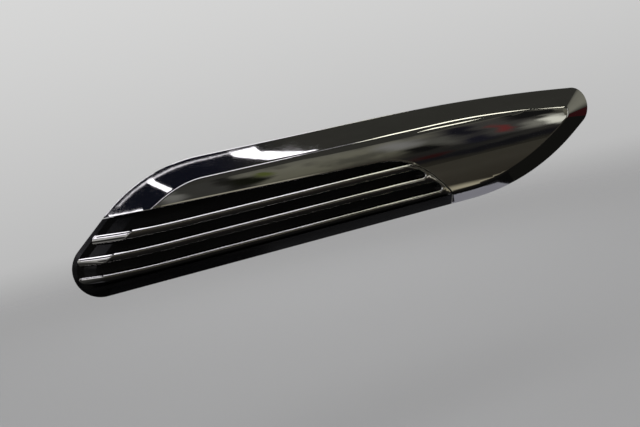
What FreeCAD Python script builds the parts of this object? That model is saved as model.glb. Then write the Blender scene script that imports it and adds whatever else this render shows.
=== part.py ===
"""Side air outlet trim of a car's front wing, right-hand side of the car, in millimetres.

+X runs along the louvres towards the front of the car, +Z is up, and the trim faces -Y.
The wing's outer skin is the plane y = 0, and the origin is the seat pad midway between the two studs.
Heights above the wing are counted outwards, so a point at height h lies at y = -h.
"""
import FreeCAD
import Part
import functools
import math
import os

Vector = FreeCAD.Vector

# ---- leaf-shaped body: five straight sides with rounded corners ----------------------------------
sill_z = -36.5          # lower side
roof_z = 36.9           # upper side, flat towards the rear
fall_slope = 5.7        # degrees, upper side falling towards the front tip
chin_slope = 32.0       # degrees, lower side rising towards the front tip
nose_slope = 40.0       # degrees, rear side
fall_x, fall_z = 178.6, 29.5       # a point on the falling upper side
chin_x, chin_z = 195.6, -3.6       # a point on the rising lower side
nose_x, nose_z = -201.4, -4.0      # a point on the rear side

# how far the crease lies inside each side, the radius of the corner between a side and the next
# one (sill to chin, chin to fall, ...), and the radius of the same corner at the crease
crease_insets = {"sill": 8.0, "chin": 13.3, "fall": 12.5, "roof": 14.4, "nose": 16.5}
corner_radii = {"sill": 200.0, "chin": 15.0, "fall": 1700.0, "roof": 106.0, "nose": 17.8}
crease_radii = {"sill": 190.0, "chin": 7.0, "fall": 1000.0, "roof": 92.0, "nose": 7.0}

edge_height = 1.2       # upright edge standing on the wing
edge_radius = 0.5       # where that edge turns into the bevel
crease_height = 10.0    # nominal height of the crease between bevel and face
crease_radius = 0.9     # where the bevel turns into the face
crown_radius = 95.0     # the face is a cylinder along X
crown_apex = 13.6       # its highest line
crown_z = -4.0
crown_margin = 0.2      # how far the bevels run on past the apex before the face trims them
least_radius = 0.5      # a corner never gets sharper than this
side_share = 0.97       # of a side's length that its two corners may take

# ---- plated blade --------------------------------------------------------------------------------
wall = 2.5              # face and return wall
foot = 4.0              # width of the blade's foot on the wing
edge_rear_x, edge_rear_z = -180.0, 11.2    # lower edge of the blade, at the rear
edge_front_x, edge_front_z = 12.0, 5.8     # the same edge, near where it turns down
turn_radius = 60.0
slant_x, slant_z = 53.1, -15.1     # a point on the slanted joint in front of the louvres
slant_slope = 47.2
drop_x, drop_z = 66.9, -35.4       # a point on the joint across the lower side
drop_slope = 67.4
drop_radius = 10.0
shut_gap = 0.3          # between the blade and the louvre pieces

# ---- louvres -------------------------------------------------------------------------------------
fin_tops = {"fin_upper": 0.2, "fin_middle": -11.4, "fin_lower": -23.2}
fin_width = 5.4
fin_top_radius = 1.1
fin_low_radius = 0.6
fin_lead = 30.0         # degrees, slope at which the rounded edges run out into the crowned face
strip_width = 2.0       # upright strip that the fins run into at the slanted joint
stake_radius = 1.5      # pins of the fins through the carrier, and their melted heads
stake_head_radius = 2.4
stake_head_height = 0.8
stake_clearance = 0.3   # round a melted head
stake_xs = (-140.0, -60.0, 15.0)
strip_pin_radius = 0.8

# ---- black carrier: floor between the louvres, lower lip, rim round the rear end -----------------
tray_height = 6.0       # front face
tray_plate = 2.0
tray_clearance = 0.3    # to the blade's foot
tray_rim = 3.7          # width of the edge wall
rim_height = 2.5        # of the rim round the rear end
lip_clearance = 0.3     # between the lowest fin and the lower lip
rim_setback = 1.5       # the edge wall stops this far from the wing and carries the seal
rib = 1.6
rib_xs = (-150.0, -90.0, -30.0, 40.0, 90.0, 140.0)
spine_z = 4.0
pad_length, pad_width = 26.0, 12.0

# ---- seal ----------------------------------------------------------------------------------------
seal_side_gap = 0.3
seal_width = 3.0

# ---- fasteners -----------------------------------------------------------------------------------
stud_spacing = 240.0
stud_radius = 2.5
stud_length = 16.0
stud_root = 3.5
stud_flange_radius = 5.0
stud_flange = 1.5
stud_boss_radius = 7.0
fit_gap = 0.05

locators = {"rear": (-165.0, -4.0), "front": (160.0, 8.0)}
locator_radius = 3.0
locator_length = 9.0
locator_tip = 1.5
locator_boss_radius = 5.5

# screw name: x, z, but the screw in the front tip goes with the tip
screws = {
    "screw_1": (-135.0, 18.0),
    "screw_2": (-45.0, 18.0),
    "screw_3": (60.0, 18.0),
    "screw_5": (92.0, -15.0),
}
tip_screw_setback = 60.9        # behind the point where the falling and the rising side meet
tip_screw_z = 8.5
screw_radius = 1.45
screw_hole_radius = 1.9
screw_head_radius = 3.0
screw_head_clearance = 0.3
screw_head = 1.8
screw_depth = 3.2       # into the blade, past the tray's front face
boss_radius = 3.6

# clip name: x, z of its tower
clips = {
    "clip_top_rear": (-110.0, 20.0),
    "clip_top_middle": (5.0, 20.0),
    "clip_top_front": (115.0, 18.0),
    "clip_low_rear": (-160.0, -19.0),
    "clip_low_middle": (-10.0, -20.0),
    "clip_low_front": (120.0, -14.0),
}
tower_length, tower_width, tower_height = 8.0, 3.2, 8.0
clip_length = 7.0
clip_sheet = 0.6
clip_gap = 0.1
clip_flare = 2.0        # how far each leg springs out
clip_leg = 7.4
clip_knee = 0.62        # of the leg's length, from the tip to where it springs out furthest

reach = 400.0           # half size of the blocks that trim the body
flatness = 0.001        # edges this near to a height lie at it
louvre_slope = math.atan2(edge_front_z - edge_rear_z, edge_front_x - edge_rear_x)
stud_xs = {"rear": -stud_spacing / 2, "front": stud_spacing / 2}

# side name: point x, point z, direction in radians. The body is on each side's left.
leaf_sides = {
    "sill": (0.0, sill_z, 0.0),
    "chin": (chin_x, chin_z, math.radians(chin_slope)),
    "fall": (fall_x, fall_z, math.pi - math.radians(fall_slope)),
    "roof": (0.0, roof_z, math.pi),
    "nose": (nose_x, nose_z, math.pi + math.radians(nose_slope)),
}


def crown_height(z):
    """Height of the crowned face at z."""
    return crown_apex - crown_radius + math.sqrt(crown_radius ** 2 - (z - crown_z) ** 2)


def crossing(a, b):
    """Where two lines, each (x, z, direction), cross."""
    (ax, az, ad), (bx, bz, bd) = a, b
    ux, uz = math.cos(ad), math.sin(ad)
    vx, vz = math.cos(bd), math.sin(bd)
    t = ((bx - ax) * vz - (bz - az) * vx) / (ux * vz - uz * vx)
    return ax + t * ux, az + t * uz


def rounded_loop(sides, y):
    """Closed wire at y from sides (x, z, direction, inset, end radius): lines joined by tangent arcs.

    An inset moves a side to its left. A radius of 0 leaves the corner sharp, and corners that would
    run into each other get smaller.
    """
    lines = []
    for x, z, direction, inset, _ in sides:
        lines.append((x - inset * math.sin(direction), z + inset * math.cos(direction), direction))
    count = len(lines)
    ends = [crossing(lines[i], lines[(i + 1) % count]) for i in range(count)]
    turns = [math.remainder(lines[(i + 1) % count][2] - lines[i][2], 2 * math.pi) for i in range(count)]
    cuts = [side[4] * math.tan(abs(turn) / 2) for side, turn in zip(sides, turns)]
    shares = []
    for i in range(count):
        length = math.dist(ends[i - 1], ends[i])
        shares.append(min(1.0, side_share * length / max(cuts[i - 1] + cuts[i], 1e-6)))
    corners = []
    for i in range(count):
        share = min(shares[i], shares[(i + 1) % count])
        cut, radius = cuts[i] * share, sides[i][4] * share
        before, after = lines[i][2], lines[(i + 1) % count][2]
        vertex = Vector(ends[i][0], y, ends[i][1])
        start = vertex - Vector(math.cos(before), 0, math.sin(before)) * cut
        end = vertex + Vector(math.cos(after), 0, math.sin(after)) * cut
        middle = vertex
        if radius:
            towards = Vector(-math.sin(before), 0, math.cos(before)) * math.copysign(radius, turns[i])
            centre = start + towards
            out = vertex - centre
            middle = centre + out * (radius / out.Length)
        corners.append((start, middle, end, radius))
    edges = []
    for i, (start, middle, end, radius) in enumerate(corners):
        if radius:
            edges.append(Part.Arc(start, middle, end).toShape())
        edges.append(Part.LineSegment(end, corners[(i + 1) % count][0]).toShape())
    return Part.Wire(edges)


def screw_places():
    """Name and x, z of every screw."""
    tip_x = crossing(leaf_sides["chin"], leaf_sides["fall"])[0]
    return {**screws, "screw_4": (tip_x - tip_screw_setback, tip_screw_z)}


def leaf_loop(inset, height):
    """The body's outline at a height, moved inwards all round by inset."""
    rise = max(height - edge_height, 0.0) / (crease_height - edge_height)
    sides = []
    for side, (x, z, direction) in leaf_sides.items():
        radius = corner_radii[side]
        radius -= inset + (radius - crease_radii[side]) * rise
        sides.append((x, z, direction, inset + crease_insets[side] * rise, max(radius, least_radius)))
    return rounded_loop(sides, -height)


def slab(low, high):
    """Everything between two heights above the wing."""
    return Part.makeBox(2 * reach, high - low, 2 * reach, Vector(-reach, -high, -reach))


def below(z):
    return Part.makeBox(2 * reach, 2 * reach, reach, Vector(-reach, -reach, z - reach))


def leaf(inset, top):
    """Solid bevelled body from the wing up to a height, inset all round."""
    foot_block = Part.Face(leaf_loop(inset, 0.0)).extrude(Vector(0, -edge_height, 0))
    if top <= edge_height:
        return foot_block
    bevels = Part.makeLoft([leaf_loop(inset, edge_height), leaf_loop(inset, top)], True, True)
    return foot_block.fuse(bevels)


def crowned_leaf(inset, drop):
    """The body with its crowned face, inset all round and with the face lowered by drop."""
    apex = crown_apex - drop
    axis = Vector(-reach, crown_radius - apex, crown_z)
    crown = Part.makeCylinder(crown_radius, 2 * reach, axis, Vector(1, 0, 0))
    return leaf(inset, apex + crown_margin).common(crown)


@functools.cache
def outer_form():
    """The body with its crease and the top of its upright edge rounded."""
    body = crowned_leaf(0.0, 0.0).removeSplitter().Solids[0]
    crown = [face for face in body.Faces if isinstance(face.Surface, Part.Cylinder)
             and abs(face.Surface.Radius - crown_radius) < flatness]
    crease = [edge for face in crown for edge in face.Edges]
    body = body.makeFillet(crease_radius, crease).Solids[0]
    rim = []
    for edge in body.Edges:
        box = edge.BoundBox
        if max(abs(box.YMin + edge_height), abs(box.YMax + edge_height)) < flatness:
            rim.append(edge)
    return body.makeFillet(edge_radius, rim).Solids[0]


def blade_zone(inset):
    """All of space on the blade's side of the louvre opening, moved back by inset."""
    sides = [
        (edge_front_x, edge_front_z, louvre_slope, inset, turn_radius + inset),
        (slant_x, slant_z, -math.radians(slant_slope), inset, drop_radius + inset),
        (drop_x, drop_z, -math.radians(drop_slope), inset, 0.0),
        (0.0, -reach, 0.0, 0.0, 0.0),
        (reach, 0.0, math.pi / 2, 0.0, 0.0),
        (0.0, reach, math.pi, 0.0, 0.0),
        (-reach, 0.0, -math.pi / 2, 0.0, 0.0),
    ]
    face = Part.Face(rounded_loop(sides, reach))
    return face.extrude(Vector(0, -2 * reach, 0))


def peg(x, z, radius, low, high):
    """Round bar along Y between two heights above the wing. Below the wing heights are negative."""
    return Part.makeCylinder(radius, high - low, Vector(x, -high, z), Vector(0, 1, 0))


def block(x, z, length, width, low, high):
    """Bar with sides along X and Z between two heights, centred on x, z."""
    return Part.makeBox(length, high - low, width, Vector(x - length / 2, -high, z - width / 2))


def make_blade():
    shell = outer_form().common(blade_zone(0.0))
    inner = crowned_leaf(foot, wall)
    shell = shell.cut(inner.common(blade_zone(wall)))
    shell = shell.cut(inner.common(slab(0.0, tray_height)))
    bosses, holes = [], []
    for x, z in screw_places().values():
        bosses.append(peg(x, z, boss_radius, tray_height, crown_height(z) - wall / 2))
        holes.append(peg(x, z, screw_radius, 0.0, tray_height + screw_depth))
    return shell.fuse(bosses).cut(holes)


def fin_section(top):
    """Outline of a fin across the louvres: rounded edges, and a ridge that the crown trims off."""
    turn = math.pi / 2 - math.radians(fin_lead)

    def rounding(z, way, radius):
        """Points of an edge's arc, from the upright side inwards."""
        points = []
        for angle in (0.0, turn / 2, turn):
            height = crown_height(z) - radius + radius * math.sin(angle)
            points.append(Vector(-reach, -height, z + way * radius * (1 - math.cos(angle))))
        return points

    low = top - fin_width
    upper = rounding(top, -1, fin_top_radius)
    lower = rounding(low, 1, fin_low_radius)
    lead = math.radians(fin_lead)
    ridge_z, ridge_y = crossing((upper[2].z, upper[2].y, lead), (lower[2].z, lower[2].y, -lead))
    ridge = Vector(-reach, ridge_y, ridge_z)
    feet = Vector(-reach, -tray_height, low), Vector(-reach, -tray_height, top)
    edges = [
        Part.LineSegment(feet[1], upper[0]),
        Part.Arc(*upper),
        Part.LineSegment(upper[2], ridge),
        Part.LineSegment(ridge, lower[2]),
        Part.Arc(*reversed(lower)),
        Part.LineSegment(lower[0], feet[0]),
        Part.LineSegment(*feet),
    ]
    return Part.Wire([edge.toShape() for edge in edges])


def louvre_body(gap):
    """The body's form on the louvres' side, up to a gap from the blade."""
    return outer_form().cut(blade_zone(-gap))


def tray_form():
    return leaf(foot + tray_clearance, tray_height)


def make_fin(top, room, tray):
    middle = top - fin_width / 2
    bar = Part.Face(Part.Wire(fin_section(top))).extrude(Vector(2 * reach, 0, 0))
    # at its rear end the fin follows the bevel down to the rim, over the tray's sloping edge
    tail = block(0, middle, 2 * reach, fin_width, rim_height, tray_height)
    fin = bar.fuse(tail).common(room).cut(tray)
    fin = max(fin.Solids, key=lambda s: s.Volume)
    back = tray_height - tray_plate
    for x in stake_xs:
        fin = fin.fuse(peg(x, middle, stake_radius, back - stake_head_height / 2, tray_height))
        fin = fin.fuse(peg(x, middle, stake_head_radius, back - stake_head_height, back))
    return fin


def strip_pin():
    """Position of the end strip's pin, on the middle of the strip."""
    shift = shut_gap + strip_width / 2
    d = math.radians(slant_slope)
    return slant_x - shift * math.sin(d), slant_z - shift * math.cos(d)


def make_end_strip():
    strip = louvre_body(shut_gap).common(blade_zone(-shut_gap - strip_width))
    strip = strip.common(below(max(fin_tops.values())))
    strip = strip.cut(below(min(fin_tops.values()) - fin_width))
    strip = strip.cut(slab(0.0, tray_height))
    strip = max(strip.Solids, key=lambda s: s.Volume)
    x, z = strip_pin()
    return strip.fuse(peg(x, z, strip_pin_radius, tray_height - tray_plate, tray_height))


def make_carrier():
    back = tray_height - tray_plate
    front = louvre_body(shut_gap)
    lip = front.common(below(min(fin_tops.values()) - fin_width - lip_clearance))
    tray = tray_form().fuse([front.common(slab(0.0, rim_height)), lip])
    edge = foot + tray_clearance + tray_rim
    recess = leaf(foot, rim_setback).common(slab(0.0, rim_setback))
    hollow = leaf(edge, tray_height).common(slab(0.0, back))
    tray = tray.cut([recess, hollow])

    ribs = [block(x, 0.0, rib, 2 * reach, rim_setback, back) for x in rib_xs]
    ribs.append(block(0.0, spine_z, 2 * reach, rib, rim_setback, back))
    inner = leaf(edge - tray_rim / 2, tray_height)
    added = [item.common(inner) for item in ribs]
    added.append(block(0.0, 0.0, pad_length, pad_width, 0.0, back))
    for x in stud_xs.values():
        added.append(peg(x, 0.0, stud_boss_radius, 0.0, back))
    for x, z in locators.values():
        added.append(peg(x, z, locator_boss_radius, 0.0, back))
        added.append(peg(x, z, locator_radius, -locator_length, back))
        point = Vector(x, locator_length, z)
        tip_radius = locator_radius - locator_tip / 2
        added.append(Part.makeCone(locator_radius, tip_radius, locator_tip, point, Vector(0, 1, 0)))
    for x, z in clips.values():
        added.append(block(x, z, tower_length, tower_width, -tower_height, back))
    tray = tray.fuse(added)

    removed = []
    for x in stud_xs.values():
        removed.append(peg(x, 0.0, stud_flange_radius, 0.0, stud_flange))
        removed.append(peg(x, 0.0, stud_radius, 0.0, stud_root))
    for x, z in screw_places().values():
        removed.append(peg(x, z, screw_hole_radius, 0.0, tray_height))
        removed.append(peg(x, z, screw_head_radius + screw_head_clearance, 0.0, back))
    for top in fin_tops.values():
        for x in stake_xs:
            z = top - fin_width / 2
            removed.append(peg(x, z, stake_radius + fit_gap, 0.0, tray_height))
            removed.append(peg(x, z, stake_head_radius + stake_clearance, 0.0, back))
    x, z = strip_pin()
    removed.append(peg(x, z, strip_pin_radius + fit_gap, 0.0, tray_height))
    return tray.cut(removed)


def make_seal():
    outer = foot + tray_clearance + seal_side_gap
    ring = Part.Face(leaf_loop(outer, 0.0)).cut(Part.Face(leaf_loop(outer + seal_width, 0.0)))
    return ring.extrude(Vector(0, -rim_setback, 0))


def make_stud(x):
    shaft = peg(x, 0.0, stud_radius, -stud_length, stud_root)
    return shaft.fuse(peg(x, 0.0, stud_flange_radius, 0.0, stud_flange))


def make_screw(x, z):
    back = tray_height - tray_plate
    shank = peg(x, z, screw_radius, back, tray_height + screw_depth)
    return shank.fuse(peg(x, z, screw_head_radius, back - screw_head, back))


def make_clip(x, z):
    """Spring-steel clip over a tower: a bridge and two legs that flare out and come back."""
    half = tower_width / 2 + clip_gap
    tip = tower_height
    knee = tip - clip_leg * clip_knee
    foot_y = tip - clip_leg

    def leg(way):
        line = [
            (half, tip + clip_sheet),
            (half + clip_sheet, tip + clip_sheet),
            (half + clip_flare, knee),
            (half + clip_sheet, foot_y),
            (half, foot_y),
            (half + clip_flare - clip_sheet, knee),
            (half, tip),
        ]
        points = [Vector(x - clip_length / 2, y, z + way * w) for w, y in line]
        return Part.Face(Part.makePolygon(points + points[:1])).extrude(Vector(clip_length, 0, 0))

    bridge = block(x, z, clip_length, 2 * half + clip_sheet, -tip - clip_sheet, -tip)
    return bridge.fuse(leg(1)).fuse(leg(-1))


def save(name, shape):
    shape = shape.removeSplitter()
    solids = shape.Solids
    volume = sum(s.Volume for s in solids)
    print(f"{name}: {len(solids)} solid, {volume / 1000:.2f} cm3, valid {shape.isValid()}")
    (solids[0] if len(solids) == 1 else Part.makeCompound(solids)).exportStep(f"parts/{name}.step")


os.makedirs("parts", exist_ok=True)
save("blade", make_blade())
fin_room = louvre_body(shut_gap + strip_width)
tray_outside = tray_form()
for fin_name, fin_top in fin_tops.items():
    save(fin_name, make_fin(fin_top, fin_room, tray_outside))
save("end_strip", make_end_strip())
save("carrier", make_carrier())
save("seal", make_seal())
for end, stud_x in stud_xs.items():
    save(f"stud_{end}", make_stud(stud_x))
for screw_name, (screw_x, screw_z) in screw_places().items():
    save(screw_name, make_screw(screw_x, screw_z))
for clip_name, (clip_x, clip_z) in clips.items():
    save(clip_name, make_clip(clip_x, clip_z))
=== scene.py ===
import bmesh
import bpy
import math
import numpy as np
from mathutils import Matrix, Vector
from mathutils.geometry import delaunay_2d_cdt, intersect_line_line_2d


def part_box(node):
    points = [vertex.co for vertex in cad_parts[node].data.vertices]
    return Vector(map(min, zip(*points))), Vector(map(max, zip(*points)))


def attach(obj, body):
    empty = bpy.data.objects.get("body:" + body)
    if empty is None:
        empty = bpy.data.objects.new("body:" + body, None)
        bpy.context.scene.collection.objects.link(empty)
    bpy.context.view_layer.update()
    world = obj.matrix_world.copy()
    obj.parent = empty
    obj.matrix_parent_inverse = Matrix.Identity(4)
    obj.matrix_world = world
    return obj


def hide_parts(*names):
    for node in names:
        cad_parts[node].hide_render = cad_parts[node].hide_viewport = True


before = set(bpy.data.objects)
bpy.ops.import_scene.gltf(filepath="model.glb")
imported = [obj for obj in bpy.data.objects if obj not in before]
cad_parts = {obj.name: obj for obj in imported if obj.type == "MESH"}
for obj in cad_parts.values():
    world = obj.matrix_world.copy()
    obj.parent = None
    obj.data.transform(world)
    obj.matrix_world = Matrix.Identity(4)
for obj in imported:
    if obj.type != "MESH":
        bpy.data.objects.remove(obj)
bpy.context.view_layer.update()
mm = 0.001
farOff = 1e9  # further than anything here
tooNear = 1e-6  # mm, at which points count as one
print("frame loaded")


class Amount:  # a socket that takes part in sums
    def __init__(self, recipe, socket):
        self.recipe, self.socket = recipe, socket

    def sum(self, operation, *terms):
        return self.recipe.add("ShaderNodeMath", {"operation": operation}, dict(enumerate(terms)))

    def __add__(self, other):
        return self.sum("ADD", self, other)

    __radd__ = __add__

    def __sub__(self, other):
        return self.sum("SUBTRACT", self, other)

    def __rsub__(self, other):
        return self.sum("SUBTRACT", other, self)

    def __mul__(self, other):
        return self.sum("MULTIPLY", self, other)

    __rmul__ = __mul__

    def __truediv__(self, other):
        return self.sum("DIVIDE", self, other)

    def __rtruediv__(self, other):
        return self.sum("DIVIDE", other, self)

    def most(self, other):
        return self.sum("MAXIMUM", self, other)

    def fade(self, low, high):  # 0 below low, 1 above high, smooth between
        sockets = {"Value": self, "From Min": low, "From Max": high}
        return self.recipe.add("ShaderNodeMapRange", {"interpolation_type": "SMOOTHSTEP"}, sockets)


class Recipe:  # the nodes of one material or of the world
    def __init__(self, owner):
        owner.use_nodes = True
        self.tree = owner.node_tree
        self.tree.nodes.clear()

    def add(self, kind, settings=None, sockets=None, out=0):
        node = self.tree.nodes.new(kind)
        for key, value in (settings or {}).items():
            if key == "stops":
                self.setStops(node.color_ramp, value)
            else:
                setattr(node, key, value)
        for key, value in (sockets or {}).items():
            if isinstance(value, Amount):
                self.tree.links.new(value.socket, node.inputs[key])
            else:
                node.inputs[key].default_value = value
        return Amount(self, node.outputs[out]) if node.outputs else node

    def setStops(self, ramp, stops):
        while len(ramp.elements) < len(stops):
            ramp.elements.new(1.0)
        for element, (place, colour) in zip(ramp.elements, stops):
            element.position, element.color = place, (*colour, 1.0)

    def place(self, scale=(1, 1, 1)):  # position on the part, in metres times scale
        return self.vector("MULTIPLY", self.add("ShaderNodeTexCoord", out="Object"), scale)

    def axis(self, letter, vector):
        return self.add("ShaderNodeSeparateXYZ", {}, {0: vector}, out=letter)

    def noise(self, vector, scale, detail=2.0):
        return self.add("ShaderNodeTexNoise", {}, {"Vector": vector, "Scale": scale, "Detail": detail})

    def cells(self, vector, scale):
        return self.add("ShaderNodeTexVoronoi", {"feature": "F1"}, {"Vector": vector, "Scale": scale})

    def vector(self, operation, first, second):
        return self.add("ShaderNodeVectorMath", {"operation": operation}, {0: first, 1: second})

    def length(self, vector):
        return self.add("ShaderNodeVectorMath", {"operation": "LENGTH"}, {0: vector}, out="Value")

    def colour(self, tone):
        return tone if isinstance(tone, Amount) else (*tone, 1.0)

    def blend(self, factor, first, second):
        sockets = {0: factor, 6: self.colour(first), 7: self.colour(second)}
        return self.add("ShaderNodeMix", {"data_type": "RGBA"}, sockets, out=2)

    def ramp(self, place, stops):
        return self.add("ShaderNodeValToRGB", {"stops": stops}, {0: place})

    def bump(self, height, distance, normal=None):
        sockets = {"Height": height, "Distance": distance, "Strength": 1.0}
        if normal:
            sockets["Normal"] = normal
        return self.add("ShaderNodeBump", {}, sockets)

    def finish(self, **sockets):
        named = {key.replace("_", " "): value for key, value in sockets.items()}
        shader = self.add("ShaderNodeBsdfPrincipled", {}, named)
        self.add("ShaderNodeOutputMaterial", {}, {"Surface": shader})


def newMaterial(name):
    material = bpy.data.materials.new(name)
    return material, Recipe(material)


def newObject(name, data):
    made = bpy.data.objects.new(name, data)
    bpy.context.scene.collection.objects.link(made)
    return made


# finishes: scales are per metre, heights of the bumps in metres

chromeLook = {
    "tones": ((0.55, 0.54, 0.52), (0.585, 0.575, 0.555)),  # clean, smeared
    "smearScale": (40, 40, 160),
    "smearEdge": (0.35, 0.75),
    "waveScale": 22.0,  # slow waves of the moulding under the plating
    "waveHeight": 0.00002,
    "peelScale": 420.0,
    "peelHeight": 0.0000012,
    "rough": (0.02, 0.03),  # and what smears add
    "roughEdge": (0.45, 0.8),
}


def chromePlate(look):
    material, r = newMaterial("chromePlate")
    place = r.place()
    smear = r.noise(r.place(look["smearScale"]), 1.0, 3.0)
    normal = r.bump(r.noise(place, look["waveScale"], 1.0), look["waveHeight"])
    normal = r.bump(r.noise(place, look["peelScale"]), look["peelHeight"], normal)
    rough, more = look["rough"]
    r.finish(Base_Color=r.blend(smear.fade(*look["smearEdge"]), *look["tones"]), Metallic=1.0,
             Roughness=rough + more * smear.fade(*look["roughEdge"]), Normal=normal)
    return material


blackLook = {
    "tones": ((0.0018, 0.0018, 0.002), (0.0032, 0.0032, 0.0034)),
    "flowScale": (18, 18, 180),
    "flowEdge": (0.3, 0.7),
    "backTone": (0.022, 0.022, 0.023),  # the side towards the wing is left as moulded
    "facingEdge": (0.2, 0.5),
    "depthEdge": (-0.0008, 0.0),
    "peelScale": 260.0,
    "peelHeight": 0.0000035,
    "grainScale": 1500.0,  # on the back alone
    "grainHeight": 0.00004,
    "rough": (0.14, 0.06, 0.3),  # and what flow and back add
    "specular": 0.2,
}


def blackPlastic(look):
    material, r = newMaterial("blackPlastic")
    place = r.place()
    facing = r.axis("Y", r.add("ShaderNodeNewGeometry", out="Normal"))
    back = facing.fade(*look["facingEdge"]).most(r.axis("Y", place).fade(*look["depthEdge"]))
    flow = r.noise(r.place(look["flowScale"]), 1.0, 3.0)
    normal = r.bump(r.noise(place, look["peelScale"]), look["peelHeight"])
    normal = r.bump(r.noise(place, look["grainScale"]) * back, look["grainHeight"], normal)
    front = r.blend(flow.fade(*look["flowEdge"]), *look["tones"])
    rough, flowRough, backRough = look["rough"]
    r.finish(Base_Color=r.blend(back, front, look["backTone"]), Roughness=rough + flowRough * flow + backRough * back,
             Specular_IOR_Level=look["specular"], Normal=normal)
    return material


# patches: scale and detail; edge: how sharp they are; cells: what the bumps follow, if not the grain
# metal: and what the patches take off it; rough: and what the grain adds to it
mottledLooks = {
    "meltedPlate": {  # the plated pins where the heat tool has spread them
        "tones": ((0.4, 0.39, 0.37), (0.09, 0.09, 0.09)),
        "patches": (400.0, 2.0), "edge": (0.45, 0.6),
        "grain": (900, 900, 900), "cells": None,
        "height": 0.0001, "metal": (1.0, 0.7), "rough": (0.3, 0.3),
    },
    "sealRubber": {
        "tones": ((0.016, 0.016, 0.017), (0.04, 0.04, 0.042)),
        "patches": (90.0, 3.0), "edge": None,
        "grain": (90, 90, 90), "cells": 1400.0,
        "height": 0.0002, "metal": (0.0, 0.0), "rough": (0.85, 0.0),
    },
    "zincSteel": {
        "tones": ((0.52, 0.52, 0.5), (0.68, 0.66, 0.6)),
        "patches": (160.0, 3.0), "edge": (0.3, 0.7),
        "grain": (160, 160, 160), "cells": 700.0,
        "height": 0.00001, "metal": (1.0, 0.0), "rough": (0.25, 0.2),
    },
    "screwSteel": {
        "tones": ((0.035, 0.035, 0.038), (0.09, 0.088, 0.085)),
        "patches": (300.0, 3.0), "edge": (0.4, 0.75),
        "grain": (300, 300, 300), "cells": None,
        "height": 0.00002, "metal": (1.0, 0.0), "rough": (0.3, 0.2),
    },
    "springSteel": {
        "tones": ((0.16, 0.17, 0.2), (0.3, 0.27, 0.24)),
        "patches": (120.0, 2.0), "edge": (0.35, 0.7),
        "grain": (30, 400, 400), "cells": None,
        "height": 0.000008, "metal": (1.0, 0.0), "rough": (0.28, 0.2),
    },
}


def mottled(name, look):  # two tones in patches, and a grain that the roughness follows
    material, r = newMaterial(name)
    patch = r.noise(r.place(), *look["patches"])
    if look["edge"]:
        patch = patch.fade(*look["edge"])
    grain = r.noise(r.place(look["grain"]), 1.0, 3.0)
    bumps = r.cells(r.place(), look["cells"]) if look["cells"] else grain
    metal, less = look["metal"]
    rough, more = look["rough"]
    r.finish(Base_Color=r.blend(patch, *look["tones"]), Metallic=metal - less * patch if less else metal,
             Roughness=rough + more * grain if more else rough, Normal=r.bump(bumps, look["height"]))
    return material


finishes = {name: mottled(name, look) for name, look in mottledLooks.items()}
finishes["chromePlate"] = chromePlate(chromeLook)
finishes["blackPlastic"] = blackPlastic(blackLook)
nodeFinishes = {  # by the first word of a node's name
    "blade": "chromePlate", "fin": "chromePlate", "end": "chromePlate", "carrier": "blackPlastic",
    "seal": "sealRubber", "stud": "zincSteel", "screw": "screwSteel", "clip": "springSteel",
}
for name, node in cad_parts.items():
    node.data.materials.clear()
    node.data.materials.append(finishes[nodeFinishes[name.split("_")[0]]])
print("finishes set")

# the leaf's form, in mm: x forwards, z up, heights counted outwards from the wing

leafLow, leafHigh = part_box("blade")

leaf = {
    "sillZ": leafLow.z / mm,
    "roofZ": leafHigh.z / mm,
    "crownApex": -leafLow.y / mm,
    "slopes": {"chin": 32.0, "fall": 5.7, "nose": 40.0},  # degrees
    "points": {"chin": (195.6, -3.6), "fall": (178.6, 29.5), "nose": (-201.4, -4.0)},
    "insets": {"sill": 8.0, "chin": 13.3, "fall": 12.5, "roof": 14.4, "nose": 11.6},
    "radii": {"sill": 200.0, "chin": 15.0, "fall": 1700.0, "roof": 106.0, "nose": 17.8},
    "creaseRadii": {"sill": 190.0, "chin": 7.0, "fall": 1000.0, "roof": 96.0, "nose": 9.0},
    "edge": 1.2,  # height of the upright edge
    "crease": 10.0,  # nominal height of the crease
    "crownRadius": 95.0,
    "crownZ": -4.0,
    "headroom": 0.2,  # how far above the crown's apex the bevels are carried
    "leastRadius": 0.5,
    "sideShare": 0.97,  # the most of a side that its two corners may take
    "softness": 0.34,  # of the crease
    "lowSoftness": (0.7, -14.0, -12.0),  # added to it along the lower side: how much, from z, over
    "tipSoftness": (0.3, 60.0, 60.0),  # and towards the tip, from x
    "tray": 6.0,  # height of the black floor
    "trayNose": 16.5,  # width of the slope that the tray has at the nose
    "foot": 4.0,  # width of the blade's foot
    "footGap": 0.3,
    "rim": 2.5,  # height of the black rim round the tail
    "bevelRows": (0.04, 0.1, 0.17, 0.25, 0.34, 0.43, 0.52, 0.61, 0.7, 0.79, 0.87),
    "creaseRows": (-1.7, -1.1, -0.75, -0.5, -0.3, -0.15, 0.0, 0.15, 0.3, 0.5, 0.75, 1.1, 1.7),
    "faceClear": 1.3,  # how far the bevels pass over the crown where the face's rows begin
    "columnSpacing": 1.6,
    "columnTurn": 2.5,  # degrees
}


def unit(angle):
    return np.array((math.cos(angle), math.sin(angle)))


def arc(centre, radius, start, turn, steps):  # places along it, with both its ends
    return [centre + radius * unit(start + turn * k / steps) for k in range(steps + 1)]


def crossing(first, second):  # of two lines given by a point and a direction
    (ax, az, ad), (bx, bz, bd) = first, second
    (ux, uz), (vx, vz) = unit(ad), unit(bd)
    t = ((bx - ax) * vz - (bz - az) * vx) / (ux * vz - uz * vx)
    return np.array((ax + t * ux, az + t * uz))


def lastWhere(holds, low, high, halvings=30):  # the highest value between the two for which a test holds
    for _ in range(halvings):
        middle = (low + high) / 2
        within = holds(middle)
        low, high = np.where(within, middle, low), np.where(within, high, middle)
    return low


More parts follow.
